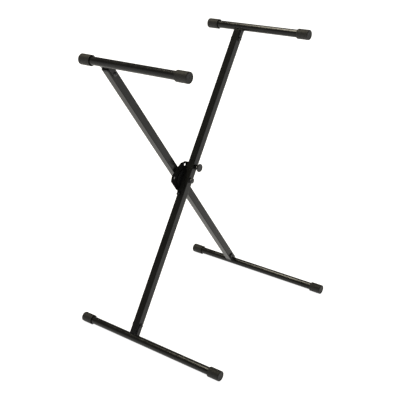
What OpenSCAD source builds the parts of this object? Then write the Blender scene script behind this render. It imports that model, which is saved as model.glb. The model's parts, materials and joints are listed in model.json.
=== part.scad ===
// Single-braced X stand with a folding hub and a spring-loaded locking pin.
// +Z is up, the bars run along Y and the legs cross in the XZ plane.
// Origin: on the floor, at the middle of the rectangle that the foot bars span.

/* [Stance] */
// Full angle between the two legs at rest
open_angle = 68.6; // [60:0.1:76]
// Distance along a leg between its foot bar's axis and its arm's axis
leg_reach = 1101; // [950:1:1150]
// Distance along Y from the middle of the foot bars to the middle of the hub
hub_offset = 84.5; // [60:0.5:110]

/* [Bars and caps] */
// Overall length of a foot bar with its caps
foot_length = 578; // [480:1:640]
// Overall length of a support arm with its caps
arm_length = 397; // [360:1:440]
// Distance along Y from the middle of the foot bars to the middle of the arms
arm_offset = -4.5; // [-20:0.5:20]
// Outside diameter of the bars
bar_diameter = 25.4; // [22:0.1:28]
// Wall of every tube
tube_wall = 1.2; // [1:0.1:1.5]
// Outside diameter of a rubber cap
cap_diameter = 32.6; // [31:0.1:36]
// Length of a rubber cap
cap_length = 42; // [30:1:50]

/* [Legs] */
// Section of a leg across its length, in the plane of the X
leg_depth = 26.5; // [25:0.5:32]
// Section of a leg along Y
leg_width = 25.5; // [24:0.5:30]
// Outside corner radius of a leg
leg_corner = 2.5; // [1.5:0.5:4]
// Clear gap between the legs where they cross
leg_gap = 13; // [12.5:0.1:14]

/* [Brackets] */
// Distance from a bar's axis to the bolt that holds the leg
bolt_setback = 44; // [40:1:50]
// Width of a bracket's ears
ear_width = 17; // [16:0.5:20]
// Thickness of the bracket sheet
sheet = 2.5; // [2:0.1:3]

/* [Hub] */
// Radius of the circle that the index holes lie on
index_radius = 48; // [46:0.5:50]
// Angle from one index hole to the next
index_step = 20; // [18:1:20]
// Thickness of the index plate
index_thickness = 3; // [2.5:0.1:3.2]
// Radius of the friction disc between the front leg and the index plate
friction_radius = 33; // [26:1:34]

/* [Locking pin] */
// Diameter of the pin's tip
pin_diameter = 8; // [7:0.1:8]
// Travel of the pin from clear of the index plate to home in a hole
pin_travel = 5.5; // [5:0.1:6]
// Diameter of the pull knob
knob_diameter = 28; // [20:1:32]

/* [Hidden] */
$fn = 64;

// A running fit, the play round a fastener, and the gap between parts that pass each other
running_clearance = 0.05;
bolt_play = 0.2;
moving_gap = 0.3;
belt_bite = 0.1;

bar_radius = bar_diameter / 2;
cap_radius = cap_diameter / 2;
cap_end_wall = 4;
cap_rounding = 2.5;
cap_recess_radius = 12.5;
cap_recess_depth = 0.8;
half_reach = leg_reach / 2;
pivot_height = cap_radius + half_reach * cos(open_angle / 2);

// Places along Y, measured from the middle of the hub
front_face = -leg_gap / 2 - leg_width;
front_back_face = -leg_gap / 2;
rear_face = leg_gap / 2;
rear_back_face = leg_gap / 2 + leg_width;
front_middle = -(leg_gap + leg_width) / 2;
rear_middle = (leg_gap + leg_width) / 2;
bracket_back = front_back_face + sheet;
friction_thickness = 2.6;
index_front = bracket_back + friction_thickness + 0.4;
index_back = index_front + index_thickness;

// Bracket and leg ends, as distances from a bar's axis
base_outer = bar_radius + sheet;
foot_plug_head = 14;
arm_plug_head = 6;
leg_foot_end = base_outer + foot_plug_head;
leg_arm_end = base_outer + arm_plug_head;
plug_depth = 9;
plug_play = 0.15;
weld_angle = 44;

// M8 button head bolts of the brackets and the sleeve nuts that they screw into
m8 = 4;
m8_head = 5.2;
m8_head_radius = 7.5;
m8_head_edge = 1;
m8_socket_flats = 5;
m8_socket_depth = 2.4;
nut_head_radius = 7.5;
nut_head = 2.2;
nut_barrel_radius = 5.5;
nut_barrel = 12;
ear_face = leg_width / 2 + sheet;

// M10 pivot
m10 = 5;
m10_flats = 17;
m10_head = 6.4;
m10_nut = 7;
m10_washer_radius = 10.5;
washer = 1.6;
sleeve_radius = 7;
thrust_washer = 1.5;

// Index plate
stored_hole = open_angle;
fold_turn = 64.5;
fold_hole = stored_hole - fold_turn;
INDEX_ANGLES = [for (i = [-1 : 2]) stored_hole + i * index_step];
shoulder_angle = stored_hole - 2 * index_step;
index_hole = pin_diameter / 2 + 0.4;
spare_hole_angle = -35;
plate_radius = 46.5;
hole_lobe = 11.5;
shoulder_lobe = 10.5;
fold_lobe = 7.5;
corner_lobe = 5.5;
boss_radius = 17;
spacer_radius = 7;
rivet_radius = 4;
rivet_head = 6;
rivet_pitch = 30;

// Locking pin, along Y from the middle of the hub, with the pin drawn clear of the plate
pin_tip = index_front - 0.5;
tip_radius = pin_diameter / 2;
tip_chamfer = 1;
stem_radius = 3;
collar_radius = 5.2;
chamber_radius = 5.5;
guide_radius = 7;
guide_flange_radius = 8.5;
guide_flange = 2;
guide_front = front_face - 6;
chamber_front = guide_front + 3;
chamber_back = front_back_face - 2;
collar_back = chamber_back - pin_travel - 4;
collar_front = collar_back - 3;
knob_inner = guide_front - pin_travel - 0.5;
knob_hub_radius = 7;
knob_hub_length = 3;
knob_disc = 6;
knob_rounding = 2.6;
knob_dish_depth = 0.8;
stem_in_knob = 6;
spring_wire = 0.45;
spring_radius = 4.25;
spring_turns = 7;
spring_steps = 12;
spring_sides = 6;

// Hub bracket tab, on the upper face of the front leg below the pivot
tab_middle = -53;
tab_half_length = 6;
tab_reach = 13;
screw_radius = 2;
screw_head_radius = 4;
screw_head = 2.2;
screw_inset = 7;

powder = [0.13, 0.13, 0.125];
steel_black = [0.09, 0.09, 0.09];
rubber = [0.2, 0.2, 0.2];
plastic = [0.06, 0.06, 0.06];
zinc = [0.55, 0.55, 0.53];

// ---- placing ----

// A frame whose Z runs up a leg from the pivot and whose Y is measured from the hub's middle.
// lean is +1 for the front leg, which leans to +X, and -1 for the rear leg.
module on_leg(lean) {
    translate([0, hub_offset, pivot_height])
        rotate([0, lean * open_angle / 2, 0])
            children();
}

// The same frame moved to a leg's end, with Z pointing from the bar's axis to the pivot.
// side is +1 for the arm end and -1 for the foot end.
module at_bar(lean, side) {
    on_leg(lean)
        translate([0, 0, side * half_reach])
            rotate([0, side > 0 ? 180 : 0, 0])
                children();
}

// Turns a shape drawn up Z to run along +Y from y.
module along_y(y) {
    translate([0, y, 0])
        rotate([-90, 0, 0])
            children();
}

module rod(radius, from, to) {
    along_y(from)
        cylinder(r = radius, h = to - from);
}

module ring(outer, inner, from, to) {
    difference() {
        rod(outer, from, to);
        rod(inner, from - 1, to + 1);
    }
}

module hexagon(flats, from, to) {
    along_y(from)
        cylinder(d = flats / cos(30), h = to - from, $fn = 6);
}

// A sheet in the XZ plane between two places along Y, drawn in x and z
module sheet_between(from, to) {
    translate([0, to, 0])
        rotate([90, 0, 0])
            linear_extrude(height = to - from)
                children();
}

// ---- outlines ----

module rounded_section(across, along, corner) {
    square([across - 2 * corner, along], center = true);
    square([across, along - 2 * corner], center = true);
    for (x = [-1, 1], y = [-1, 1])
        translate([x * (across / 2 - corner), y * (along / 2 - corner)])
            circle(corner);
}

// Outline round a ring of circles [x, y, radius], given anticlockwise
function tangent_normal(a, b) =
    let (
        dx = b[0] - a[0],
        dy = b[1] - a[1],
        turn = atan2(dy, dx) - 90 + asin((a[2] - b[2]) / norm([dx, dy]))
    )
    [cos(turn), sin(turn)];

function tangent_points(circles) = [
    for (i = [0 : len(circles) - 1])
        let (
            a = circles[i],
            b = circles[(i + 1) % len(circles)],
            n = tangent_normal(a, b)
        )
        each [[a[0], a[1]] + a[2] * n, [b[0], b[1]] + b[2] * n]
];

// The belt runs belt_bite inside the circles, so that its sides cross them instead of touching them.
module belt_outline(circles) {
    polygon(tangent_points([for (c = circles) [c[0], c[1], c[2] - belt_bite]]));
    for (c = circles)
        translate([c[0], c[1]])
            circle(c[2], $fn = 96);
}

// ---- legs, bars and caps ----

module leg_tube(middle) {
    y = middle;
    low = leg_foot_end - half_reach;
    high = half_reach - leg_arm_end;
    difference() {
        translate([0, y, low])
            linear_extrude(height = high - low)
                difference() {
                    rounded_section(leg_depth, leg_width, leg_corner);
                    rounded_section(leg_depth - 2 * tube_wall, leg_width - 2 * tube_wall,
                                    leg_corner - tube_wall);
                }
        for (side = [-1, 1])
            translate([0, y, side * (half_reach - bolt_setback)])
                bolt_hole();
        rod(sleeve_radius + running_clearance, y - leg_width, y + leg_width);
        children();
    }
}

// The hole for a bracket bolt, wider on the +Y side for the barrel of its nut
module bolt_hole() {
    rod(m8 + bolt_play, -leg_width, 0);
    rod(nut_barrel_radius + running_clearance, 0, leg_width);
}

module front_leg() {
    color(powder)
        on_leg(1)
            leg_tube(front_middle) {
                translate([0, 0, index_radius])
                    rod(guide_radius + running_clearance, front_face - 1, front_back_face + 1);
                translate([-leg_depth / 2 - 1, front_back_face - screw_inset, tab_middle])
                    rotate([0, 90, 0])
                        cylinder(r = screw_radius + bolt_play, h = 5);
            }
}

module rear_leg() {
    color(powder)
        on_leg(-1)
            leg_tube(rear_middle)
                for (z = [-rivet_pitch, rivet_pitch])
                    translate([0, 0, z])
                        rod(rivet_radius + running_clearance, rear_face - 1, rear_face + 5);
}

module leg_plug(lean, side, middle) {
    head = side > 0 ? arm_plug_head : foot_plug_head;
    color(plastic)
        at_bar(lean, side)
            translate([0, middle, 0]) {
                translate([0, 0, base_outer])
                    linear_extrude(height = head)
                        rounded_section(leg_depth, leg_width, leg_corner);
                translate([0, 0, base_outer + head])
                    linear_extrude(height = plug_depth)
                        rounded_section(leg_depth - 2 * (tube_wall + plug_play),
                                        leg_width - 2 * (tube_wall + plug_play), 1);
            }
}

module bar(lean, side, length, offset) {
    half = length / 2 - cap_end_wall;
    color(powder)
        at_bar(lean, side)
            translate([0, offset - hub_offset, 0])
                ring(bar_radius, bar_radius - tube_wall, -half, half);
}

// A cap's half section, with its closed end at y = 0 and its mouth at y = cap_length
module cap_section() {
    difference() {
        union() {
            translate([0, cap_rounding])
                square([cap_radius, cap_length - cap_rounding - 1]);
            square([cap_radius - cap_rounding, cap_length]);
            translate([cap_radius - cap_rounding, cap_rounding])
                circle(cap_rounding);
            translate([cap_radius - 1, cap_length - 1])
                circle(1);
        }
        translate([0, cap_end_wall])
            square([bar_radius + running_clearance, cap_length]);
        translate([-1, -1])
            square([cap_recess_radius + 1, 1 + cap_recess_depth]);
        translate([-cap_radius, -1])
            square([cap_radius, cap_length + 2]);
    }
}

// way is -1 for the end towards -Y and +1 for the end towards +Y
module cap(lean, side, length, offset, way) {
    color(rubber)
        at_bar(lean, side)
            translate([0, offset - hub_offset + way * length / 2, 0])
                rotate([way * 90, 0, 0])
                    rotate_extrude()
                        cap_section();
}

// ---- bar brackets ----

// A U of sheet welded on the bar, with an ear on each side of the leg
module bar_bracket(lean, side, middle) {
    toe = [bar_radius * sin(weld_angle), bar_radius * cos(weld_angle)];
    color(powder)
        at_bar(lean, side)
            translate([0, middle, 0])
                difference() {
                    union() {
                        sheet_between(-ear_face, ear_face)
                            polygon([
                                [-ear_width / 2, base_outer], [-ear_width / 2, bar_radius],
                                [-toe[0], toe[1]], [toe[0], toe[1]],
                                [ear_width / 2, bar_radius], [ear_width / 2, base_outer]
                            ]);
                        for (way = [-1, 1])
                            ear(way);
                    }
                    rod(bar_radius, -50, 50);
                    translate([0, 0, bolt_setback])
                        bolt_hole();
                }
}

module ear(way) {
    inner = leg_width / 2;
    sheet_between(min(way * inner, way * ear_face), max(way * inner, way * ear_face)) {
        translate([-ear_width / 2, bar_radius / 2])
            square([ear_width, bolt_setback - bar_radius / 2]);
        translate([0, bolt_setback])
            circle(ear_width / 2);
    }
}

module at_bracket_bolts(lean, middle) {
    for (side = [-1, 1])
        at_bar(lean, side)
            translate([0, middle, bolt_setback])
                children();
}

// Half section of a button head, with its flat side at y = 0
module button_section() {
    rise = m8_head - m8_head_edge;
    dome_radius = (m8_head_radius * m8_head_radius + rise * rise) / (2 * rise);
    intersection() {
        square([m8_head_radius, m8_head]);
        translate([0, m8_head - dome_radius])
            circle(dome_radius, $fn = 128);
    }
}

module bracket_bolts(lean, middle) {
    color(zinc)
        at_bracket_bolts(lean, middle) {
            difference() {
                translate([0, -ear_face, 0])
                    rotate([90, 0, 0])
                        rotate_extrude()
                            button_section();
                hexagon(m8_socket_flats, -ear_face - m8_head - 1,
                        -ear_face - m8_head + m8_socket_depth);
            }
            rod(m8, -ear_face, ear_face + nut_head / 2);
        }
}

module bracket_nuts(lean, middle) {
    color(zinc)
        at_bracket_bolts(lean, middle)
            difference() {
                union() {
                    rod(nut_head_radius, ear_face, ear_face + nut_head);
                    rod(nut_barrel_radius, ear_face - nut_barrel, ear_face);
                }
                rod(m8 + running_clearance, ear_face - nut_barrel - 1, ear_face + nut_head + 1);
            }
}

// ---- pivot ----

head_face = rear_back_face + thrust_washer + moving_gap;
nut_face = front_face - washer;

module pivot_bolt() {
    color(zinc)
        on_leg(1) {
            hexagon(m10_flats, head_face, head_face + m10_head);
            rod(m10, nut_face - m10_nut - 1.2, head_face);
        }
}

module pivot_nut() {
    color(steel_black)
        on_leg(1)
            difference() {
                hexagon(m10_flats, nut_face - m10_nut, nut_face);
                rod(m10 + running_clearance, nut_face - m10_nut - 1, nut_face + 1);
            }
}

module pivot_nut_washer() {
    color(steel_black)
        on_leg(1)
            ring(m10_washer_radius, m10 + bolt_play, nut_face, front_face);
}

module pivot_sleeve() {
    color(zinc)
        on_leg(1)
            ring(sleeve_radius, m10 + running_clearance, front_face, front_back_face);
}

module pivot_bush() {
    color(zinc)
        on_leg(-1)
            ring(sleeve_radius, m10 + running_clearance, index_back, rear_back_face);
}

module pivot_thrust_washer() {
    color(plastic)
        on_leg(-1)
            ring(m10_washer_radius, m10 + moving_gap, rear_back_face, rear_back_face + thrust_washer);
}

module friction_disc() {
    color(plastic)
        on_leg(1)
            ring(friction_radius, m10 + bolt_play, bracket_back, bracket_back + friction_thickness);
}

// Sheet on the back of the front leg, with a tab folded over the leg's upper face
module hub_bracket() {
    half = leg_depth / 2 - 0.5;
    tab_outer = leg_depth / 2 + sheet;
    color(steel_black)
        on_leg(1)
            difference() {
                union() {
                    sheet_between(front_back_face, bracket_back)
                        belt_outline([[0, tab_middle + half, half], [0, index_radius + 2, half]]);
                    translate([-tab_outer, front_back_face, tab_middle - tab_half_length])
                        cube([tab_outer, sheet, 2 * tab_half_length]);
                    translate([-tab_outer, front_back_face - tab_reach, tab_middle - tab_half_length])
                        cube([sheet, tab_reach + sheet, 2 * tab_half_length]);
                }
                rod(m10 + bolt_play, front_back_face - 1, bracket_back + 1);
                translate([0, 0, index_radius])
                    rod(tip_radius + moving_gap, front_back_face - 1, bracket_back + 1);
                translate([-tab_outer - 1, front_back_face - screw_inset, tab_middle])
                    rotate([0, 90, 0])
                        cylinder(r = screw_radius + bolt_play, h = sheet + 2);
            }
}

module hub_bracket_screw() {
    tab_outer = leg_depth / 2 + sheet;
    color(zinc)
        on_leg(1)
            translate([-tab_outer, front_back_face - screw_inset, tab_middle])
                rotate([0, 90, 0]) {
                    translate([0, 0, -screw_head])
                        cylinder(r = screw_head_radius, h = screw_head);
                    cylinder(r = screw_radius, h = sheet + 6);
                }
}

// ---- index plate ----

module at_index(angle) {
    translate([index_radius * sin(angle), index_radius * cos(angle)])
        children();
}

function index_lobe(angle, radius) =
    [index_radius * sin(angle), index_radius * cos(angle), radius];

module index_outline() {
    belt_outline([
        [0, 0, plate_radius],
        for (i = [len(INDEX_ANGLES) - 1 : -1 : 0]) index_lobe(INDEX_ANGLES[i], hole_lobe),
        index_lobe(shoulder_angle, shoulder_lobe),
        index_lobe(fold_hole, fold_lobe),
        [-30, 48.5, corner_lobe],
        [-41, 40.5, corner_lobe]
    ]);
}

module index_plate() {
    color(steel_black)
        on_leg(-1)
            sheet_between(index_front, index_back)
                difference() {
                    index_outline();
                    circle(m10 + moving_gap);
                    for (angle = concat(INDEX_ANGLES, [fold_hole, spare_hole_angle]))
                        at_index(angle)
                            circle(index_hole);
                    for (z = [-rivet_pitch, rivet_pitch])
                        translate([0, z])
                            circle(rivet_radius + running_clearance);
                }
}

module index_plate_boss() {
    color(steel_black)
        on_leg(-1)
            ring(boss_radius, sleeve_radius + running_clearance, index_back, rear_face);
}

module index_plate_spacers() {
    color(zinc)
        on_leg(-1)
            for (z = [-rivet_pitch, rivet_pitch])
                translate([0, 0, z])
                    ring(spacer_radius, rivet_radius + running_clearance, index_back, rear_face);
}

module index_plate_rivets() {
    inside = rear_face + tube_wall;
    color(zinc)
        on_leg(-1)
            for (z = [-rivet_pitch, rivet_pitch])
                translate([0, 0, z]) {
                    rod(rivet_radius, index_front, inside);
                    rod(rivet_head, inside, inside + 2);
                }
}

// ---- locking pin ----

module at_pin() {
    on_leg(1)
        translate([0, 0, index_radius])
            children();
}

module pin_guide() {
    color(steel_black)
        at_pin()
            difference() {
                union() {
                    rod(guide_radius, guide_front, front_back_face);
                    rod(guide_flange_radius, front_face - guide_flange, front_face);
                }
                rod(stem_radius + running_clearance, guide_front - 1, chamber_front + 1);
                rod(chamber_radius, chamber_front, chamber_back);
                rod(tip_radius + running_clearance, chamber_back - 1, front_back_face + 1);
            }
}

module index_pin() {
    color(zinc)
        at_pin() {
            rod(stem_radius, knob_inner - stem_in_knob, collar_front);
            rod(collar_radius, collar_front, collar_back);
            rod(tip_radius, collar_back, pin_tip - tip_chamfer);
            along_y(pin_tip - tip_chamfer)
                cylinder(r1 = tip_radius, r2 = tip_radius - tip_chamfer, h = tip_chamfer);
        }
}

// Coil of round wire between the guide's front wall and the pin's collar
function coil_point(i, side, from, to) =
    let (
        last = spring_turns * spring_steps,
        along = from + (to - from) * i / last,
        turn = 360 * i / spring_steps,
        out = spring_radius + spring_wire * cos(360 * side / spring_sides)
    )
    [out * cos(turn), along + spring_wire * sin(360 * side / spring_sides), out * sin(turn)];

module pin_spring() {
    from = chamber_front + spring_wire + 0.1;
    to = collar_front - spring_wire - 0.1;
    last = spring_turns * spring_steps;
    points = [for (i = [0 : last], side = [0 : spring_sides - 1]) coil_point(i, side, from, to)];
    walls = [
        for (i = [0 : last - 1], side = [0 : spring_sides - 1])
            let (
                a = i * spring_sides + side,
                b = i * spring_sides + (side + 1) % spring_sides
            )
            each [[a, a + spring_sides, b], [b, a + spring_sides, b + spring_sides]]
    ];
    start = [for (side = [0 : spring_sides - 1]) side];
    finish = [for (side = [spring_sides - 1 : -1 : 0]) last * spring_sides + side];
    color(zinc)
        at_pin()
            polyhedron(points = points, faces = concat(walls, [start], [finish]));
}

// Half section of the pull knob, from its inner end at y = 0
module knob_section() {
    radius = knob_diameter / 2;
    outer = knob_hub_length + knob_disc;
    difference() {
        union() {
            square([knob_hub_radius, knob_hub_length + 1]);
            translate([0, knob_hub_length])
                square([radius - knob_rounding, knob_disc]);
            translate([0, knob_hub_length + knob_rounding])
                square([radius, knob_disc - 2 * knob_rounding]);
            for (y = [knob_hub_length + knob_rounding, outer - knob_rounding])
                translate([radius - knob_rounding, y])
                    circle(knob_rounding);
        }
        translate([0, -1])
            square([stem_radius + running_clearance, 1 + stem_in_knob]);
        translate([0, outer - knob_dish_depth])
            square([radius * 0.62, 1 + knob_dish_depth]);
        translate([-radius, -1])
            square([radius, outer + 2]);
    }
}

module pull_knob() {
    color(plastic)
        at_pin()
            translate([0, knob_inner, 0])
                rotate([90, 0, 0])
                    rotate_extrude()
                        knob_section();
}

// ---- drawing ----

module foot_cap(lean, way) {
    cap(lean, -1, foot_length, 0, way);
}

module arm_cap(lean, way) {
    cap(lean, 1, arm_length, arm_offset, way);
}

front_leg();
leg_plug(1, -1, front_middle);  // front_leg_foot_plug
leg_plug(1, 1, front_middle);  // front_leg_arm_plug
bar(1, -1, foot_length, 0);  // front_foot_bar
bar(1, 1, arm_length, arm_offset);  // front_arm_bar
bar_bracket(1, -1, front_middle);  // front_foot_bracket
bar_bracket(1, 1, front_middle);  // front_arm_bracket
foot_cap(1, -1);  // front_foot_cap_near
foot_cap(1, 1);  // front_foot_cap_far
arm_cap(1, -1);  // front_arm_cap_near
arm_cap(1, 1);  // front_arm_cap_far
bracket_bolts(1, front_middle);  // front_bracket_bolts
bracket_nuts(1, front_middle);  // front_bracket_nuts
rear_leg();
leg_plug(-1, -1, rear_middle);  // rear_leg_foot_plug
leg_plug(-1, 1, rear_middle);  // rear_leg_arm_plug
bar(-1, -1, foot_length, 0);  // rear_foot_bar
bar(-1, 1, arm_length, arm_offset);  // rear_arm_bar
bar_bracket(-1, -1, rear_middle);  // rear_foot_bracket
bar_bracket(-1, 1, rear_middle);  // rear_arm_bracket
foot_cap(-1, -1);  // rear_foot_cap_near
foot_cap(-1, 1);  // rear_foot_cap_far
arm_cap(-1, -1);  // rear_arm_cap_near
arm_cap(-1, 1);  // rear_arm_cap_far
bracket_bolts(-1, rear_middle);  // rear_bracket_bolts
bracket_nuts(-1, rear_middle);  // rear_bracket_nuts
pivot_bolt();
pivot_nut();
pivot_nut_washer();
pivot_sleeve();
pivot_bush();
pivot_thrust_washer();
friction_disc();
hub_bracket();
hub_bracket_screw();
index_plate();
index_plate_boss();
index_plate_spacers();
index_plate_rivets();
pin_guide();
index_pin();
pin_spring();
pull_knob();
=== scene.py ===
"""Looks of a folding X stand for a keyboard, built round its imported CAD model.

Everything is in metres. A piece on a leg is drawn in that leg's own frame, with its origin on the
pivot, Z up the leg and Y along the pivot bolt. A piece at a bar is drawn in the bar's frame, whose
origin is on the bar's axis and whose Z points along the leg to the pivot. A turned piece is drawn
round Y from (radius, y) points. Overall sizes come from the boxes of the CAD nodes, and the sizes
that are named here are those that a box does not give. Near is the player's side, at -Y.
"""

import json
import math

import bmesh
import bpy
from mathutils import Matrix, Vector


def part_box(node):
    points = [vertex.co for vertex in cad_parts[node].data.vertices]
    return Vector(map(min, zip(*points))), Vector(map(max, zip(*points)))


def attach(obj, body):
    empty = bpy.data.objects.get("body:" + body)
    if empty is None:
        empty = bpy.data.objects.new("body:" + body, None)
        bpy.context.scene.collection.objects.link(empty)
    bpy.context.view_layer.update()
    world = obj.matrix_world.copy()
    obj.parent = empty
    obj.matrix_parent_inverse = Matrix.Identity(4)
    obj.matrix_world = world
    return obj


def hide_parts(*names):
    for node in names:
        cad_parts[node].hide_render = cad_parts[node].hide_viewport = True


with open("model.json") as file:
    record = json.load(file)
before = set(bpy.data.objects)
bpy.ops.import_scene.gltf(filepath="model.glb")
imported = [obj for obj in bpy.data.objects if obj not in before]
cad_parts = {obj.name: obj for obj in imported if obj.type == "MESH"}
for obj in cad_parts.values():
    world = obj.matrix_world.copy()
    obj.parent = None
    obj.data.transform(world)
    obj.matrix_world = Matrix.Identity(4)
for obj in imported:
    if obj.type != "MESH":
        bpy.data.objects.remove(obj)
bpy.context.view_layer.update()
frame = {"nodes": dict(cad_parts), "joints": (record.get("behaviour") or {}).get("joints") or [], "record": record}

MM = 0.001
LEGS = {"front": 1, "rear": -1}
ENDS = {"foot": -1, "arm": 1}
SIDES = ("near", "far")
JOINTS = {joint["name"]: joint for joint in frame["joints"]}
PIVOT = Vector(JOINTS["leg_pivot"]["pos_m"])

# Points round a turned piece, a large turned piece, a hole and a wire
STEPS = 48
FINE_STEPS = 96
HOLE_STEPS = 32
WIRE_STEPS = 10
# Edges that bend by more degrees than this stay sharp
SHEET_SHARP = 25
METAL_SHARP = 30
MOULDED_SHARP = 35
WIRE_SHARP = 60

TUBE_WALL = 1.2 * MM
LEG_CORNER = 2.5 * MM
M8 = 4 * MM
M8_PITCH = 1.25 * MM
M10 = 5 * MM
M10_PITCH = 1.5 * MM
M10_FLATS = 17 * MM
CHAMFER_SLOPE = math.tan(math.radians(30))


# ---- places ----

def middle(node):
    low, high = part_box(node)
    return (low + high) / 2


ARM_AXIS = middle("front_arm_bar")
HALF_ANGLE = math.atan2(ARM_AXIS.x - PIVOT.x, ARM_AXIS.z - PIVOT.z)
REACH = math.hypot(ARM_AXIS.x - PIVOT.x, ARM_AXIS.z - PIVOT.z)


def leg_frame(leg):
    return Matrix.Translation(PIVOT) @ Matrix.Rotation(LEGS[leg] * HALF_ANGLE, 4, "Y")


def bar_frame(leg, end):
    turn = math.pi if end == "arm" else 0
    along = Matrix.Translation((0, 0, ENDS[end] * REACH))
    return leg_frame(leg) @ along @ Matrix.Rotation(turn, 4, "Y")


def local_points(node, place):
    """The points of a CAD node in a frame of its own."""
    inverse = place.inverted()
    return [inverse @ v.co for v in frame["nodes"][node].data.vertices]


def local_box(node, place):
    """Lowest and highest corner of a CAD node in a frame of its own."""
    points = local_points(node, place)
    low = Vector([min(p[i] for p in points) for i in range(3)])
    high = Vector([max(p[i] for p in points) for i in range(3)])
    return low, high


def bar_radius(leg, end):
    low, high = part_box(f"{leg}_{end}_bar")
    return (high.z - low.z) / 2


def ear_half(leg, end):
    """Half the width of a bracket's ear, which is also the radius of its rounded end."""
    points = local_points(f"{leg}_{end}_bracket", bar_frame(leg, end))
    ear = 0.6 * max(p.z for p in points)
    return max(abs(p.x) for p in points if p.z > ear)


# ---- outlines and rings ----

def rounded(corners, closed=True, steps=4):
    """An outline of corners (x, y, radius), each turned into an arc of that radius."""
    points = []
    count = len(corners)
    for i, (x, y, radius) in enumerate(corners):
        here = Vector((x, y))
        if radius == 0 or (not closed and i in (0, count - 1)):
            points.append(here)
            continue
        before = (Vector(corners[i - 1][:2]) - here).normalized()
        after = (Vector(corners[(i + 1) % count][:2]) - here).normalized()
        half = before.angle(after) / 2
        centre = here + (before + after).normalized() * radius / math.sin(half)
        start = here + before * radius / math.tan(half) - centre
        stop = here + after * radius / math.tan(half) - centre
        sweep = start.angle(stop)
        for k in range(steps + 1):
            part = k / steps
            points.append(centre + (start * math.sin((1 - part) * sweep)
                                    + stop * math.sin(part * sweep)) / math.sin(sweep))
    return points


def box_outline(low, high, corner, steps=4):
    return rounded([(low[0], low[1], corner), (high[0], low[1], corner),
                    (high[0], high[1], corner), (low[0], high[1], corner)], steps=steps)


def circle(centre, radius):
    turns = [2 * math.pi * i / HOLE_STEPS for i in range(HOLE_STEPS)]
    return [Vector((centre[0] + radius * math.cos(a), centre[1] + radius * math.sin(a)))
            for a in turns]


def hexagon(flats):
    """Radius of a hexagon at an angle, with a corner at angle 0."""
    return lambda angle: flats / 2 / math.cos(angle % (math.pi / 3) - math.pi / 6)


def ring(radius, y, steps=STEPS):
    """Points round the Y axis. The radius and y may each be a function of the angle."""
    points = []
    for i in range(steps):
        angle = 2 * math.pi * i / steps
        r = radius(angle) if callable(radius) else radius
        along = y(angle) if callable(y) else y
        points.append(Vector((r * math.cos(angle), along, r * math.sin(angle))))
    return points


def inset(outline, amount):
    """A closed anticlockwise outline moved inwards."""
    moved = []
    for i, here in enumerate(outline):
        before = here - outline[i - 1]
        after = outline[(i + 1) % len(outline)] - here
        along = (before.normalized() + after.normalized()).normalized()
        moved.append(here + amount * Vector((-along.y, along.x)))
    return moved


def belt(circles, steps=12):
    """Outline drawn tight round circles (x, z, radius), given anticlockwise."""
    normals = []
    for (ax, ay, ar), (bx, by, br) in zip(circles, circles[1:] + circles[:1]):
        turn = math.atan2(by - ay, bx - ax) - math.pi / 2
        normals.append(turn + math.asin((ar - br) / math.hypot(bx - ax, by - ay)))
    points = []
    for i, (x, y, radius) in enumerate(circles):
        start, stop = normals[i - 1], normals[i]
        while stop < start:
            stop += 2 * math.pi
        count = max(2, round(steps * (stop - start)))
        for k in range(count + 1):
            angle = start + (stop - start) * k / count
            points.append(Vector((x + radius * math.cos(angle), y + radius * math.sin(angle))))
    return points


# ---- meshes ----

def finished(mesh, name, sharp):
    bmesh.ops.remove_doubles(mesh, verts=mesh.verts, dist=1e-7)
    bmesh.ops.recalc_face_normals(mesh, faces=mesh.faces)
    data = bpy.data.meshes.new(name)
    mesh.to_mesh(data)
    mesh.free()
    data.shade_smooth()
    data.set_sharp_from_angle(angle=math.radians(sharp))
    return data


def add_wall(mesh, a, b):
    """Faces between two loops of points."""
    for i in range(len(a)):
        mesh.faces.new((a[i - 1], a[i], b[i], b[i - 1]))


def add_skin(mesh, rings, closed=False):
    """Joins each ring of points to the next. A closed skin also joins the last ring to the first,
    and an open one has both ends filled.
    """
    loops = [[mesh.verts.new(p) for p in points] for points in rings]
    following = loops[1:] + ([loops[0]] if closed else [])
    for a, b in zip(loops, following):
        add_wall(mesh, a, b)
    if not closed:
        mesh.faces.new(loops[0])
        mesh.faces.new(loops[-1])


def skin(name, rings, closed=False):
    mesh = bmesh.new()
    add_skin(mesh, rings, closed)
    return finished(mesh, name, MOULDED_SHARP)


def lathe(name, profile, closed=False, steps=STEPS):
    return skin(name, [ring(max(r, 0), y, steps) for r, y in profile], closed)


def add_plate(mesh, outline, holes, near, far, edge):
    """A flat sheet across Y with chamfered edges. The outline and the holes are anticlockwise, in
    x and z.
    """
    lips = [[], []]
    for path, way in [(outline, 1)] + [(hole, -1) for hole in holes]:
        lip = inset(path, way * edge)
        levels = [(lip, near), (path, near + edge), (path, far - edge), (lip, far)]
        loops = [[mesh.verts.new((p.x, y, p.y)) for p in points] for points, y in levels]
        for a, b in zip(loops, loops[1:]):
            add_wall(mesh, a, b)
        for side, loop in ((0, loops[0]), (1, loops[-1])):
            lips[side] += [mesh.edges.get((loop[i - 1], loop[i])) for i in range(len(loop))]
    for edges in lips:
        bmesh.ops.triangle_fill(mesh, use_beauty=True, edges=edges)


def plate(name, outline, holes, near, far, edge):
    mesh = bmesh.new()
    add_plate(mesh, outline, holes, near, far, edge)
    return finished(mesh, name, SHEET_SHARP)


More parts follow.
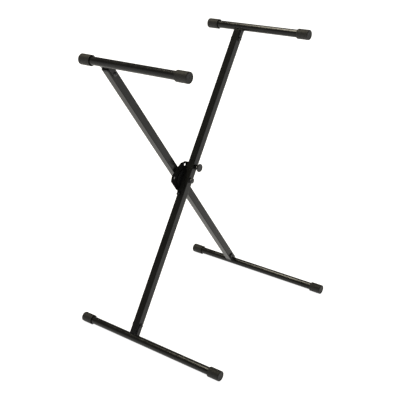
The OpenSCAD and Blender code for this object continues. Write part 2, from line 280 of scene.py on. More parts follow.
def add_wire(mesh, path, radii, closed=False):
    """A round wire along a path that runs round the Y axis, with a radius at each point."""
    rings = []
    count = len(path)
    turns = [2 * math.pi * k / WIRE_STEPS for k in range(WIRE_STEPS)]
    for i, here in enumerate(path):
        before = path[i - 1] if closed or i else path[0]
        after = path[(i + 1) % count] if closed or i < count - 1 else path[-1]
        along = (after - before).normalized()
        out = Vector((here.x, 0, here.z))
        out = (out - out.dot(along) * along).normalized()
        side = along.cross(out)
        rings.append([here + radii[i] * (math.cos(a) * out + math.sin(a) * side) for a in turns])
    add_skin(mesh, rings, closed)


# ---- materials ----

class Finish:
    """One procedural material, built round its Principled shader."""

    def __init__(self, name):
        self.material = bpy.data.materials.new(name)
        self.material.use_nodes = True
        self.nodes = self.material.node_tree.nodes
        self.links = self.material.node_tree.links
        self.shader = self.nodes["Principled BSDF"]
        self.place = self.nodes.new("ShaderNodeTexCoord").outputs["Object"]

    def add(self, kind, settings=(), **values):
        """Adds a node. A value goes to the input of that name, or of that number after a _."""
        node = self.nodes.new(kind)
        for key, value in settings:
            setattr(node, key, value)
        for key, value in values.items():
            socket = int(key[1:]) if key[0] == "_" else key.replace("_", " ")
            self.put(node.inputs[socket], value)
        return node

    def put(self, socket, value):
        if isinstance(value, bpy.types.NodeSocket):
            self.links.new(value, socket)
        else:
            socket.default_value = value

    def set(self, **values):
        """Sets or links inputs of the shader, with _ for a space in their names."""
        for key, value in values.items():
            self.put(self.shader.inputs[key.replace("_", " ")], value)

    def noise(self, scale, detail=2.0, stretch=(1, 1, 1), roughness=0.5):
        placed = self.add("ShaderNodeMapping", Vector=self.place, Scale=stretch)
        return self.add("ShaderNodeTexNoise", Vector=placed.outputs[0], Scale=scale,
                        Detail=detail, Roughness=roughness).outputs["Fac"]

    def spread(self, value, low, high, to_low=0.0, to_high=1.0):
        """Maps low..high of a value to to_low..to_high, and clamps it."""
        return self.add("ShaderNodeMapRange", _0=value, _1=low, _2=high,
                        _3=to_low, _4=to_high).outputs[0]

    def times(self, a, b):
        return self.add("ShaderNodeMath", [("operation", "MULTIPLY")], _0=a, _1=b).outputs[0]

    def blend(self, part, a, b):
        return self.add("ShaderNodeMix", [("data_type", "RGBA")], _0=part, _6=a, _7=b).outputs[2]

    def mottled(self, value, level, change, warmth):
        """A grey that a noise makes darker and lighter by a part of itself."""
        return self.blend(self.spread(value, 0.35, 0.65), grey(level * (1 - change), warmth),
                          grey(level * (1 + change), warmth))

    def worn(self, radius, patches):
        """1 on edges sharper than the radius and 0 on flat places, broken up by patches."""
        soft = self.add("ShaderNodeBevel", [("samples", 4)], Radius=radius).outputs[0]
        true = self.add("ShaderNodeNewGeometry").outputs["Normal"]
        facing = self.add("ShaderNodeVectorMath", [("operation", "DOT_PRODUCT")], _0=soft, _1=true)
        return self.times(self.spread(facing.outputs["Value"], 0.995, 0.93), patches)

    def bumps(self, *layers):
        """Bump layers (height, depth), the first one lowest."""
        normal = None
        for height, depth in layers:
            node = self.add("ShaderNodeBump", Strength=1.0, Distance=depth, Height=height)
            if normal:
                self.put(node.inputs["Normal"], normal)
            normal = node.outputs[0]
        self.set(Normal=normal)


def grey(level, warmth=0.0):
    return (level * (1 + warmth), level * (1 + warmth / 2), level * (1 - warmth), 1)


def coated(name, level, gloss, specular, wear=0.5):
    """Powder coat or paint on steel: orange peel, cloudy gloss, rubbed edges, hair scratches."""
    warmth = 0.06
    peel = 0.02 * MM
    f = Finish(name)
    speckle = f.spread(f.noise(2600, 1), 0.62, 0.75, 0, 0.35)
    rubbed = f.worn(0.7 * MM, f.spread(f.noise(130, 4), 0.42, 0.62, 0.15, wear))
    scratches = f.spread(f.noise(60, 2, stretch=(14, 1, 1.2)), 0.72, 0.74, 0, 0.35)
    base = f.mottled(f.noise(22, 3), level, 0.15, warmth)
    base = f.blend(speckle, base, grey(level * 2.2, warmth))
    base = f.blend(rubbed, base, grey(0.11, 0.02))
    base = f.blend(scratches, base, grey(level * 1.8, 0.01))
    rough = f.spread(f.noise(70, 3), 0.3, 0.7, gloss - 0.05, gloss + 0.07)
    f.set(Base_Color=base, Roughness=rough, Specular_IOR_Level=specular)
    f.bumps((f.noise(520, 2), peel), (f.noise(2400, 1), peel * 0.12))
    return f.material


def moulded(name, level, gloss, specular, warmth=0.0, grain=0.03 * MM, scuffed=0.3):
    """Moulded rubber or plastic: spark-eroded grain, flow marks, and scuffs on the edges."""
    f = Finish(name)
    scuffs = f.spread(f.noise(95, 5, roughness=0.65), 0.55, 0.72, 0, scuffed)
    rubbed = f.worn(0.9 * MM, f.spread(f.noise(160, 3), 0.4, 0.65, 0.1, 0.5))
    base = f.mottled(f.noise(35, 4, stretch=(1, 0.35, 1)), level, 0.12, warmth)
    base = f.blend(scuffs, base, grey(level * 1.7, warmth))
    base = f.blend(rubbed, base, grey(level * 2.1, warmth))
    rough = f.spread(f.noise(120, 3), 0.3, 0.7, gloss - 0.06, gloss + 0.08)
    f.set(Base_Color=base, Roughness=rough, Specular_IOR_Level=specular)
    f.bumps((f.noise(1900, 2), grain), (f.noise(300, 2), grain * 0.6))
    return f.material


def plated(name, level, gloss):
    """Plated steel: turning marks round Y, blotchy plating and bright worn edges."""
    f = Finish(name)
    blotches = f.noise(180, 4)
    rubbed = f.worn(0.35 * MM, f.spread(f.noise(500, 3), 0.4, 0.6, 0.2, 0.8))
    base = f.mottled(blotches, level, 0.2, 0.0)
    base = f.blend(rubbed, base, grey(min(level * 2.6, 0.6), 0.02))
    rough = f.spread(blotches, 0.3, 0.7, gloss - 0.06, gloss + 0.1)
    f.set(Base_Color=base, Roughness=rough, Metallic=1.0)
    f.bumps((f.noise(420, 2, stretch=(1, 6, 1)), 0.012 * MM), (f.noise(1500, 2), 0.006 * MM))
    return f.material


FINISHES = {
    "powder_coat": coated("powder_coat", 0.0105, 0.17, 0.18),
    # hub_paint is partly a darker matte paint and partly painted shade: its very low level and weak specular make
    # the hub parts darker than the coat, to stand for the shade they sit in between the legs, behind the front leg
    "hub_paint": coated("hub_paint", 0.0025, 0.6, 0.06, wear=0.15),
    "cap_rubber": moulded("cap_rubber", 0.0125, 0.6, 0.28, warmth=0.1),
    "plug_plastic": moulded("plug_plastic", 0.004, 0.55, 0.15, scuffed=0.2),
    "knob_plastic": moulded("knob_plastic", 0.008, 0.36, 0.3, warmth=0.04, grain=0.012 * MM),
    "nylon": moulded("nylon", 0.005, 0.5, 0.12, grain=0.015 * MM),
    "black_fasteners": plated("black_fasteners", 0.055, 0.36),
    "bare_steel": plated("bare_steel", 0.5, 0.3),
}


# ---- legs and bars ----

def add_piece(name, data, place, body, slot, *nodes):
    piece = bpy.data.objects.new(name, data)
    bpy.context.scene.collection.objects.link(piece)
    data.materials.append(FINISHES[slot])
    piece.matrix_world = place
    flats = piece.modifiers.new("flat_faces", "WEIGHTED_NORMAL")
    flats.keep_sharp = True
    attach(piece, body)
    if nodes:
        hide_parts(*nodes)


def body_of(leg):
    return leg + "_frame"


def leg_tube(leg):
    """A square tube with rounded corners, open at both ends under its plugs."""
    node = leg + "_leg"
    low, high = local_box(node, leg_frame(leg))
    wall = Vector((TUBE_WALL, TUBE_WALL, 0))
    outer = box_outline(low, high, LEG_CORNER)
    inner = box_outline(low + wall, high - wall, LEG_CORNER - TUBE_WALL)
    levels = ((outer, low.z), (outer, high.z), (inner, high.z), (inner, low.z))
    rings = [[Vector((p.x, p.y, z)) for p in outline] for outline, z in levels]
    add_piece(leg + "_leg_tube", skin(node, rings, closed=True), leg_frame(leg), body_of(leg),
              "powder_coat", node)


def leg_plug(leg, end):
    """A moulded plug: a crowned head on the tube's end and a ribbed spigot inside it."""
    node = f"{leg}_leg_{end}_plug"
    place = bar_frame(leg, end)
    low, high = local_box(node, place)
    tube_end = local_box(leg + "_leg", place)[0].z
    crown = 0.7 * MM
    spigot = TUBE_WALL + 0.15 * MM
    rib = 0.3 * MM
    rib_count = 3
    least_corner = 0.6 * MM
    # Each level is a height and how far the outline lies inside the tube's
    levels = [(low.z, 0.8 * crown), (low.z + 0.3 * crown, 0.3 * crown), (low.z + crown, 0),
              (tube_end - 0.35 * MM, 0), (tube_end - 0.1 * MM, 0.3 * MM),
              (tube_end, 0.3 * MM), (tube_end, spigot)]
    for i in range(rib_count):
        start = tube_end + (high.z - tube_end) * (i + 0.2) / rib_count
        levels += [(start, spigot + rib), (start + 0.6 * MM, spigot),
                   (start + 1.6 * MM, spigot), (start + 2 * MM, spigot + rib)]
    levels.append((high.z, spigot + 2 * rib))
    rings = []
    for z, depth in levels:
        outline = box_outline((low.x + depth, low.y + depth), (high.x - depth, high.y - depth),
                              max(LEG_CORNER - depth, least_corner))
        rings.append([Vector((p.x, p.y, z)) for p in outline])
    add_piece(f"{leg}_{end}_end_plug", skin(node, rings), place, body_of(leg), "plug_plastic",
              node)


def bar_tube(leg, end):
    node = f"{leg}_{end}_bar"
    low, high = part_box(node)
    radius = bar_radius(leg, end)
    inner = radius - TUBE_WALL
    half = (high.y - low.y) / 2
    soft = 0.3 * MM
    profile = rounded([(radius, -half, soft), (radius, half, soft),
                       (inner, half, soft), (inner, -half, soft)], steps=2)
    add_piece(f"{leg}_{end}_bar_tube", lathe(node, profile, closed=True, steps=FINE_STEPS),
              Matrix.Translation(middle(node)), body_of(leg), "powder_coat", node)


def end_cap(leg, end, side):
    """A rubber cap: a dished face with a moulding gate, a fine groove round it near its mouth,
    and a lip that stands clear of the tube.
    """
    node = f"{leg}_{end}_cap_{side}"
    low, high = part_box(node)
    radius = (high.z - low.z) / 2
    length = high.y - low.y
    bore = bar_radius(leg, end) + 0.05 * MM
    floor = 4 * MM
    dish, dish_depth = 12.5 * MM, 0.8 * MM
    gate, gate_floor = 1.4 * MM, dish_depth - 0.45 * MM
    groove = radius - 0.25 * MM
    profile = [(0, gate_floor), (gate, gate_floor), (gate + 0.3 * MM, dish_depth)]
    profile += rounded([
        (gate + 0.6 * MM, dish_depth, 0),
        (dish - 0.3 * MM, dish_depth, 0.3 * MM), (dish + 0.3 * MM, 0, 0.35 * MM),
        (radius, 0, 2.5 * MM), (radius, length - 6 * MM, 0.5 * MM),
        (groove, length - 5.7 * MM, 0.2 * MM), (groove, length - 4.6 * MM, 0.2 * MM),
        (radius, length - 4.3 * MM, 0.2 * MM), (radius, length, 1.0 * MM),
        (bore + 2.1 * MM, length, 0.5 * MM), (bore, length - 3.4 * MM, 1.5 * MM),
        (bore, floor, 0.5 * MM), (0, floor, 0)], closed=False)
    face_y, turn = (low.y, 0) if side == "near" else (high.y, math.pi)
    place = Matrix.Translation((middle(node).x, face_y, middle(node).z))
    add_piece(f"{leg}_{end}_end_cap_{side}", lathe(node, profile, steps=FINE_STEPS),
              place @ Matrix.Rotation(turn, 4, "Z"), body_of(leg), "cap_rubber", node)


def bar_bracket(leg, end):
    """Two ears on a saddle, with the weld that runs round its foot on the bar."""
    node = f"{leg}_{end}_bracket"
    place = bar_frame(leg, end)
    low, high = local_box(node, place)
    leg_low, leg_high = local_box(leg + "_leg", place)
    radius = bar_radius(leg, end)
    reach = ear_half(leg, end)
    bolt = high.z - reach
    foot = radius - 0.6 * MM
    plug_end = local_box(f"{leg}_leg_{end}_plug", place)[0].z
    ear_steps, saddle_steps = 24, 12
    ear = [Vector((reach * math.cos(a), bolt + reach * math.sin(a)))
           for a in (math.pi * i / ear_steps for i in range(ear_steps + 1))]
    slope = math.asin(reach / radius)
    saddle = [Vector((foot * math.sin(a), foot * math.cos(a)))
              for a in (slope * (2 * i / saddle_steps - 1) for i in range(saddle_steps + 1))]
    bolt_hole = circle((0, bolt), 4.2 * MM)
    mesh = bmesh.new()
    for near, far in ((low.y, leg_low.y), (leg_high.y, high.y)):
        add_plate(mesh, ear + saddle, [bolt_hole], near, far, 0.35 * MM)
    block = [Vector((reach, plug_end)), Vector((-reach, plug_end))] + saddle
    overlap = 0.4 * MM
    add_plate(mesh, block, [], leg_low.y - overlap, leg_high.y + overlap, 0.05 * MM)
    add_piece(f"{leg}_{end}_saddle_bracket", finished(mesh, node, METAL_SHARP), place,
              body_of(leg), "powder_coat", node)
    weld_bead(f"{leg}_{end}_bracket_weld", place, body_of(leg), radius, reach, low.y, high.y)


def weld_bead(name, place, body, radius, reach, near, far):
    """A rippled fillet weld round a bracket's foot. It follows the curve of the bar."""
    ripple = 1.7 * MM
    points_per_ripple = 6
    bead = 1.7 * MM
    corner = 2 * MM
    outline = box_outline((-reach, near), (reach, far), corner)
    path, radii, run = [], [], 0.0
    for i, here in enumerate(outline):
        there = outline[(i + 1) % len(outline)]
        length = (there - here).length
        parts = max(1, round(length / (ripple / points_per_ripple)))
        for k in range(parts):
            x, y = here + (there - here) * k / parts
            lean = math.asin(max(-1, min(1, x / radius)))
            path.append(Vector((radius * math.sin(lean), y, radius * math.cos(lean))))
            phase = (run + length * k / parts) / ripple
            radii.append(bead * (0.86 + 0.14 * abs(math.sin(math.pi * phase))
                                 + 0.05 * math.sin(phase * 0.7)))
        run += length
    mesh = bmesh.new()
    add_wire(mesh, path, radii, closed=True)
    add_piece(name, finished(mesh, name, WIRE_SHARP), place, body, "powder_coat")


# ---- fasteners ----

def thread_rings(major, pitch, start, stop):
    """Rings of a V thread along Y from start to stop. It runs out towards stop."""
    depth = 0.55 * pitch
    rings_per_turn = 8
    count = max(4, round(abs(stop - start) / pitch * rings_per_turn))
    rings = []
    for k in range(count + 1):
        y = start + (stop - start) * k / count
        fade = min(1, 4 * (1 - k / count) + 0.2)

        def radius(angle, y=y, fade=fade):
            turn = (y / pitch - angle / (2 * math.pi)) % 1
            return major - depth * (1 - abs(2 * turn - 1)) * fade
        rings.append(ring(radius, y))
    return rings


def add_nut(mesh, flats, bore, near, far):
    """A hexagon nut with both faces chamfered round their corners."""
    corner = hexagon(flats)
    flat = flats / 2 * 0.97
    soft = 0.5 * MM

    def drop(angle):
        return (corner(angle) - flat) * CHAMFER_SLOPE
    rings = [ring(bore, near + soft), ring(bore + soft, near), ring(flat, near),
             ring(corner, lambda a: near + drop(a)), ring(corner, lambda a: far - drop(a)),
             ring(flat, far), ring(bore + soft, far), ring(bore, far - soft)]
    add_skin(mesh, rings, closed=True)


def add_sleeve_nut(mesh, inner, face, outer):
    """A flat round head on the far ear and a barrel inside the leg."""
    head, barrel, bore = 7.5 * MM, 5.5 * MM, 4.05 * MM
    profile = rounded([
        (bore, inner, 0.3 * MM), (barrel, inner, 0.5 * MM), (barrel, face, 0),
        (head, face, 0.2 * MM), (head, outer, 0.6 * MM), (bore, outer, 0.5 * MM)], steps=3)
    add_skin(mesh, [ring(r, y) for r, y in profile], closed=True)


def add_button_bolt(mesh, face, head, tail):
    """An M8 button head bolt: a domed head with a hexagon socket at -Y, and a threaded end."""
    radius, rim = 7.5 * MM, 0.9 * MM
    socket, mouth = hexagon(5 * MM), 3.1 * MM
    soft = 0.3 * MM
    thread = 12 * MM
    rise = head - rim
    dome = (radius ** 2 + rise ** 2) / (2 * rise)
    dome_steps = 8
    top = face - head
    rings = [ring(M8 - 1.4 * MM, tail)]
    rings += thread_rings(M8, M8_PITCH, tail - thread, tail - 0.6 * MM)[::-1]
    rings += [ring(M8, tail - thread - 0.4 * MM), ring(M8, face), ring(radius - soft, face),
              ring(radius, face - soft)]
    for k in range(dome_steps + 1):
        r = radius + (mouth - radius) * k / dome_steps
        rings.append(ring(r, top + dome - math.sqrt(dome ** 2 - r ** 2)))
    rings += [ring(socket, top + 0.35 * MM), ring(socket, top + 3.2 * MM),
              ring(0.4 * MM, top + 3.6 * MM)]
    add_skin(mesh, rings)


def bracket_fasteners(leg):
    """Both bracket bolts of a leg, each with the sleeve nut that it screws into."""
    bolts, nuts = bmesh.new(), bmesh.new()
    for end in ENDS:
        place = bar_frame(leg, end)
        low, high = local_box(f"{leg}_{end}_bracket", place)
        bolt_place = place @ Matrix.Translation((0, 0, high.z - ear_half(leg, end)))
        bolt_low, bolt_high = local_box(leg + "_bracket_bolts", bolt_place)
        nut_low, nut_high = local_box(leg + "_bracket_nuts", bolt_place)
        starts = len(bolts.verts), len(nuts.verts)
        add_button_bolt(bolts, low.y, low.y - bolt_low.y, bolt_high.y)
        add_sleeve_nut(nuts, nut_low.y, high.y, nut_high.y)
        for mesh, start in zip((bolts, nuts), starts):
            for v in list(mesh.verts)[start:]:
                v.co = leg_frame(leg).inverted() @ bolt_place @ v.co
    for kind, mesh in (("bolts", bolts), ("nuts", nuts)):
        node = f"{leg}_bracket_{kind}"
        add_piece(f"{leg}_ear_{kind}", finished(mesh, node, METAL_SHARP), leg_frame(leg),
                  body_of(leg), "black_fasteners", node)


def pivot_bolt():
    """A hexagon head behind the rear leg, and a thread that ends outside the nut."""
    place = leg_frame("front")
    low, high = local_box("pivot_bolt", place)
    thread_end = local_box("pivot_nut", place)[1].y
    head_near = high.y - 6.4 * MM
    corner = hexagon(M10_FLATS)
    flat = M10_FLATS / 2 * 0.95
    rings = thread_rings(M10, M10_PITCH, thread_end, low.y)[::-1]
    rings += [ring(M10, thread_end + 0.3 * MM), ring(M10, head_near), ring(flat, head_near),
              ring(corner, head_near + 0.4 * MM),
              ring(corner, lambda a: high.y - (corner(a) - flat) * CHAMFER_SLOPE),
              ring(flat, high.y), ring(flat - 1.2 * MM, high.y - 0.1 * MM),
              ring(0, high.y - 0.3 * MM)]
    mesh = bmesh.new()
    add_skin(mesh, rings)
    add_piece("hub_pivot_bolt", finished(mesh, "pivot_bolt", METAL_SHARP), place, "front_frame",
              "black_fasteners", "pivot_bolt")


def pivot_nut():
    place = leg_frame("front")
    low, high = local_box("pivot_nut", place)
    mesh = bmesh.new()
    add_nut(mesh, M10_FLATS, M10 - 0.1 * MM, low.y, high.y)
    add_piece("hub_pivot_nut", finished(mesh, "pivot_nut", METAL_SHARP), place, "front_frame",
              "black_fasteners", "pivot_nut")


def pivot_washer(name, node, leg, slack, slot):
    place = leg_frame(leg)
    low, high = local_box(node, place)
    outer, bore = (high.x - low.x) / 2, M10 + slack
    profile = rounded([(outer, low.y, 0.3 * MM), (outer, high.y, 0.3 * MM),
                       (bore, high.y, 0.2 * MM), (bore, low.y, 0.2 * MM)], steps=2)
    mesh = bmesh.new()
    add_skin(mesh, [ring(r, y) for r, y in profile], closed=True)
    add_piece(name, finished(mesh, node, METAL_SHARP), place, body_of(leg), slot, node)


# ---- hub ----

INDEX_RADIUS = 48 * MM
INDEX_STEP = 20
SPARE_HOLE = -35


def index_place(angle):
    turn = math.radians(angle)
    return INDEX_RADIUS * math.sin(turn), INDEX_RADIUS * math.cos(turn)


def index_plate():
    """The pressed plate on the rear leg, with its ring of index holes. Its angles are in degrees
    from the rear leg to the front one.
    """
    hole, pivot_hole, rivet_hole = 4.4 * MM, 5.3 * MM, 4.05 * MM
    rivet = 30 * MM
    body, hole_lobe, shoulder_lobe, folded_lobe = 46.5 * MM, 11.5 * MM, 10.5 * MM, 7.5 * MM
    corners = [(-30 * MM, 48.5 * MM, 5.5 * MM), (-41 * MM, 40.5 * MM, 5.5 * MM)]
    stored = math.degrees(2 * HALF_ANGLE)
    folded = stored - JOINTS["leg_pivot"]["range_deg"][1]
    angles = [stored + i * INDEX_STEP for i in (-1, 0, 1, 2)]
    lobes = [index_place(a) + (hole_lobe,) for a in angles[::-1]]
    lobes += [index_place(stored - 2 * INDEX_STEP) + (shoulder_lobe,),
              index_place(folded) + (folded_lobe,)]
    outline = belt([(0, 0, body)] + lobes + corners)
    cuts = [circle(index_place(a), hole) for a in angles + [folded, SPARE_HOLE]]
    cuts += [circle((0, 0), pivot_hole)]
    cuts += [circle((0, z), rivet_hole) for z in (-rivet, rivet)]
    low, high = local_box("index_plate", leg_frame("rear"))
    data = plate("index_plate", outline, cuts, low.y, high.y, 0.45 * MM)
    add_piece("hub_index_plate", data, leg_frame("rear"), "rear_frame", "hub_paint",
              "index_plate")


def friction_disc():
    low, high = local_box("friction_disc", leg_frame("front"))
    outer, bore = (high.x - low.x) / 2, 5.2 * MM
    profile = rounded([(outer, low.y, 0.5 * MM), (outer, high.y, 0.5 * MM),
                       (bore, high.y, 0.3 * MM), (bore, low.y, 0.3 * MM)], steps=3)
    data = lathe("friction_disc", profile, closed=True, steps=FINE_STEPS)
    add_piece("hub_friction_disc", data, leg_frame("front"), "front_frame", "nylon",
              "friction_disc")


def hub_bracket():
    """Sheet on the back of the front leg with a tab bent over the leg's upper face."""
    place = leg_frame("front")
    low, high = local_box("hub_bracket", place)
    leg_low, leg_high = local_box("front_leg", place)
    beyond_leg = leg_low.x - 1 * MM
    tab = [p.z for p in local_points("hub_bracket", place) if p.x < beyond_leg]
    tab_low, tab_high = min(tab), max(tab)
    half = leg_high.x - 0.5 * MM
    soft = 0.35 * MM
    outline = belt([(0, (tab_low + tab_high) / 2 + half, half),
                    (0, INDEX_RADIUS + 2 * MM, half)], steps=16)
    cuts = [circle((0, 0), 5.2 * MM), circle((0, INDEX_RADIUS), 4.3 * MM)]
    data = plate("hub_bracket", outline, cuts, leg_high.y, high.y, soft)
    add_piece("hub_bracket_sheet", data, place, "front_frame", "hub_paint", "hub_bracket")

    sheet = high.y - leg_high.y
    x = low.x + sheet / 2
    y = high.y - sheet / 2
    path = rounded([(-6 * MM, y, 0), (x, y, 0.9 * sheet), (x, low.y, 0)], closed=False, steps=6)
    section = box_outline((-1, tab_low), (1, tab_high), soft, steps=1)
    rings = []
    for i, here in enumerate(path):
        along = (path[min(i + 1, len(path) - 1)] - path[max(i - 1, 0)]).normalized()
        side = Vector((-along.y, along.x)) * sheet / 2
        rings.append([Vector((here.x + side.x * p.x, here.y + side.y * p.x, p.y))
                      for p in section])
    add_piece("hub_bracket_tab", skin("hub_bracket_tab", rings), place, "front_frame",
              "hub_paint")


def bracket_screw():
    """A pan head screw with a cross slot, turned so that its axis lies across the leg."""
    place = leg_frame("front")
    low, high = local_box("hub_bracket_screw", place)
    centre = (low + high) / 2
    radius = (high.y - low.y) / 2
    shank, head = 2 * MM, 2.2 * MM
    turned = (place @ Matrix.Translation((low.x, centre.y, centre.z))
              @ Matrix.Rotation(-math.pi / 2, 4, "Z"))

    def cross(angle):
        arm = abs((angle % (math.pi / 2)) - math.pi / 4)
        return (0.55 + 1.5 * (arm / (math.pi / 4)) ** 6) * MM
    rings = [ring(shank, high.x - low.x), ring(shank, head), ring(radius - 0.2 * MM, head),
             ring(radius, head - 0.3 * MM), ring(radius, head - 0.9 * MM),
             ring(radius * 0.9, 0.6 * MM), ring(radius * 0.72, 0.2 * MM),
             ring(radius * 0.58, 0.05 * MM), ring(cross, 0.1 * MM),
             ring(lambda a: cross(a) * 0.7, 1.3 * MM), ring(0.1 * MM, 1.5 * MM)]
    add_piece("hub_tab_screw", skin("hub_bracket_screw", rings), turned, "front_frame",
              "black_fasteners", "hub_bracket_screw")


# ---- locking pin ----

PIN_STEM = 3 * MM
PIN_TIP = 4 * MM
GUIDE_WALL = 3 * MM
PIN_FRAME = leg_frame("front") @ Matrix.Translation((0, 0, INDEX_RADIUS))
LEG_FACE = local_box("front_leg", PIN_FRAME)[0].y
COLLAR_FAR = LEG_FACE + 14 * MM
COLLAR_NEAR = COLLAR_FAR - 3 * MM


def pin_guide():
    """A flanged tube through the front leg, with a chamber for the spring."""
    low, high = local_box("pin_guide", PIN_FRAME)
    outer, flange, chamber = 7 * MM, 8.5 * MM, 5.5 * MM
    stem, tip = PIN_STEM + 0.05 * MM, PIN_TIP + 0.05 * MM
    flange_near = LEG_FACE - 2 * MM
    chamber_near, chamber_far = low.y + GUIDE_WALL, high.y - 2 * MM
    profile = rounded([
        (outer, high.y, 0.2 * MM), (outer, LEG_FACE, 0), (flange, LEG_FACE, 0),
        (flange, flange_near, 0.6 * MM), (outer, flange_near, 0.4 * MM),
        (outer, low.y, 0.8 * MM), (stem, low.y, 0.3 * MM), (stem, chamber_near, 0),
        (chamber, chamber_near, 0), (chamber, chamber_far, 0), (tip, chamber_far, 0),
        (tip, high.y, 0.2 * MM)], steps=3)
    add_piece("lock_pin_guide", lathe("pin_guide", profile, closed=True), PIN_FRAME,
              "front_frame", "hub_paint", "pin_guide")


def index_pin():
    low, high = local_box("index_pin", PIN_FRAME)
    collar, soft, flat = 5.2 * MM, 0.4 * MM, 0.5 * MM
    profile = [(0, low.y)] + rounded([
        (flat, low.y, 0), (PIN_STEM, low.y, soft), (PIN_STEM, COLLAR_NEAR, 0),
        (collar, COLLAR_NEAR, soft), (collar, COLLAR_FAR, soft), (PIN_TIP, COLLAR_FAR, 0),
        (PIN_TIP, high.y - 1 * MM, soft), (PIN_STEM, high.y, soft), (flat, high.y, 0)],
        closed=False, steps=3) + [(0, high.y)]
    add_piece("lock_pin", lathe("index_pin", profile), PIN_FRAME, "pull_pin", "bare_steel",
              "index_pin")


def pin_spring():
    """A coil in the guide's chamber. It leaves room for the collar when the pin is pulled."""
    wire, radius, turns, steps = 0.45 * MM, 4.25 * MM, 7, 28
    gap = wire + 0.1 * MM
    start = local_box("pin_guide", PIN_FRAME)[0].y + GUIDE_WALL + gap
    stop = COLLAR_NEAR - JOINTS["pin_slide"]["range_m"][1] - gap
    path = []
    for i in range(turns * steps + 1):
        part = i / (turns * steps)
        # The coils lie closer together at both ends
        along = part + 0.045 * math.sin(2 * math.pi * part)
        angle = 2 * math.pi * i / steps
        path.append(Vector((radius * math.cos(angle), start + (stop - start) * along,
                            radius * math.sin(angle))))
    mesh = bmesh.new()
    add_wire(mesh, path, [wire] * len(path))
    add_piece("lock_spring", finished(mesh, "pin_spring", WIRE_SHARP), PIN_FRAME, "front_frame",
              "bare_steel", "pin_spring")


def pull_knob():
    """A moulded mushroom knob: short neck, rounded rim and a dished face with a gate mark."""
    low, high = local_box("pull_knob", PIN_FRAME)
    radius = (high.x - low.x) / 2
    face, neck_end = low.y, high.y
    gate, dish = face + 0.5 * MM, face + 0.8 * MM
    disc = face + 6 * MM
    neck = 7 * MM
    socket_end = neck_end - 6 * MM
    rim = 2.5 * MM
    profile = [(0, gate), (1.2 * MM, gate), (1.5 * MM, dish)]
    profile += rounded([
        (2 * MM, dish, 0), (radius * 0.6, dish, 0.8 * MM), (radius * 0.68, face, 0.8 * MM),
        (radius, face, rim), (radius, disc, rim), (neck, disc, 1.0 * MM),
        (neck, neck_end, 0.5 * MM), (PIN_STEM, neck_end, 0.3 * MM),
        (PIN_STEM, socket_end, 0), (0, socket_end, 0)], closed=False, steps=6)
    add_piece("lock_pull_knob", lathe("pull_knob", profile, steps=FINE_STEPS), PIN_FRAME,
              "pull_pin", "knob_plastic", "pull_knob")


def keep_cad_nodes():
    """Inner CAD nodes that stay as they are get their slot's material."""
    slots = {part["node"]: part["material_slot"] for part in frame["record"]["subparts"]}
    for name, node in frame["nodes"].items():
        node.data.materials.clear()
        node.data.materials.append(FINISHES[slots[name]])


# ---- studio ----

CAMERA_PLACE = (-1.8113, -1.3944, 1.4342)
CAMERA_YAW = -52.11
CAMERA_PITCH = -24.06
CAMERA_ROLL = -1.43
CAMERA_LENS = 67.88
SENSOR_WIDTH = 36

FLOOR_RADIUS = 30
FLOOR_PALE = 0.6
FLOOR_GLOW = 0.97
# The sky's strength, and the heights of its direction between which it changes
SKY_BAND = (0.1, 0.3)
SKY_HORIZON = 1.02
SKY_ABOVE = 0.14


def add_to_scene(name, data):
    thing = bpy.data.objects.new(name, data)
    bpy.context.scene.collection.objects.link(thing)
    return thing


def studio_camera():
    data = bpy.data.cameras.new("camera")
    data.lens, data.sensor_width = CAMERA_LENS, SENSOR_WIDTH
    camera = add_to_scene("camera", data)
    turn = Matrix.Rotation(math.radians(CAMERA_YAW), 4, "Z")
    tilt = Matrix.Rotation(math.radians(90 + CAMERA_PITCH), 4, "X")
    roll = Matrix.Rotation(math.radians(CAMERA_ROLL), 4, "Z")
    camera.matrix_world = Matrix.Translation(CAMERA_PLACE) @ turn @ tilt @ roll
    bpy.context.scene.camera = camera


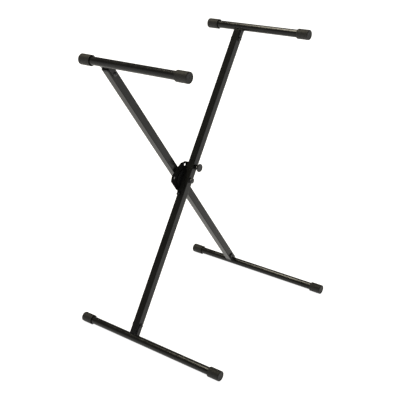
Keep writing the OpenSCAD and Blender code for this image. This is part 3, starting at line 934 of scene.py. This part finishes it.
def studio_sky():
    """Bright along the horizon and dim above, so that upper faces stay dark."""
    world = bpy.data.worlds.new("studio")
    bpy.context.scene.world = world
    world.use_nodes = True
    nodes, links = world.node_tree.nodes, world.node_tree.links
    place = nodes.new("ShaderNodeTexCoord")
    split = nodes.new("ShaderNodeSeparateXYZ")
    spread = nodes.new("ShaderNodeMapRange")
    links.new(place.outputs["Generated"], split.inputs[0])
    links.new(split.outputs["Z"], spread.inputs[0])
    for socket, value in zip(spread.inputs[1:5], SKY_BAND + (SKY_HORIZON, SKY_ABOVE)):
        socket.default_value = value
    links.new(spread.outputs[0], nodes["Background"].inputs["Strength"])
    nodes["Background"].inputs["Color"].default_value = grey(1)


def studio_floor():
    """A pale floor that glows a little, so that it stays as pale as the backdrop."""
    mesh = bmesh.new()
    bmesh.ops.create_circle(mesh, cap_ends=True, segments=FINE_STEPS, radius=FLOOR_RADIUS)
    data = bpy.data.meshes.new("studio_floor")
    mesh.to_mesh(data)
    mesh.free()
    floor = add_to_scene("studio_floor", data)
    f = Finish("studio_floor")
    f.set(Base_Color=grey(FLOOR_PALE), Roughness=0.9, Specular_IOR_Level=0.1,
          Emission_Color=grey(1), Emission_Strength=FLOOR_GLOW)
    data.materials.append(f.material)


def softbox(name, place, target, size, power, warmth=0.0):
    light = bpy.data.lights.new(name, "AREA")
    light.shape = "RECTANGLE"
    light.size, light.size_y = size
    light.energy = power
    light.color = grey(1, warmth)[:3]
    lamp = add_to_scene(name, light)
    lamp.location = place
    lamp.rotation_mode = "QUATERNION"
    lamp.rotation_quaternion = (Vector(target) - Vector(place)).to_track_quat("-Z", "Y")


# ---- the scene ----

studio_camera()
studio_sky()
studio_floor()
softbox("overhead_softbox", (-0.15, 2.75, 6), (-0.15, 2.75, 0), (4.4, 1.15), 260, 0.15)
softbox("side_softbox", (0.9, -2.8, 1.2), (0, 0, 0.3), (0.9, 1.2), 5)
bpy.context.scene.view_settings.view_transform = "Standard"

keep_cad_nodes()
for leg in LEGS:
    leg_tube(leg)
    bracket_fasteners(leg)
    for end in ENDS:
        leg_plug(leg, end)
        bar_tube(leg, end)
        bar_bracket(leg, end)
        for side in SIDES:
            end_cap(leg, end, side)
pivot_bolt()
pivot_nut()
pivot_washer("hub_nut_washer", "pivot_nut_washer", "front", 0.2 * MM, "black_fasteners")
pivot_washer("hub_thrust_washer", "pivot_thrust_washer", "rear", 0.3 * MM, "nylon")
index_plate()
friction_disc()
hub_bracket()
bracket_screw()
pin_guide()
index_pin()
pin_spring()
pull_knob()
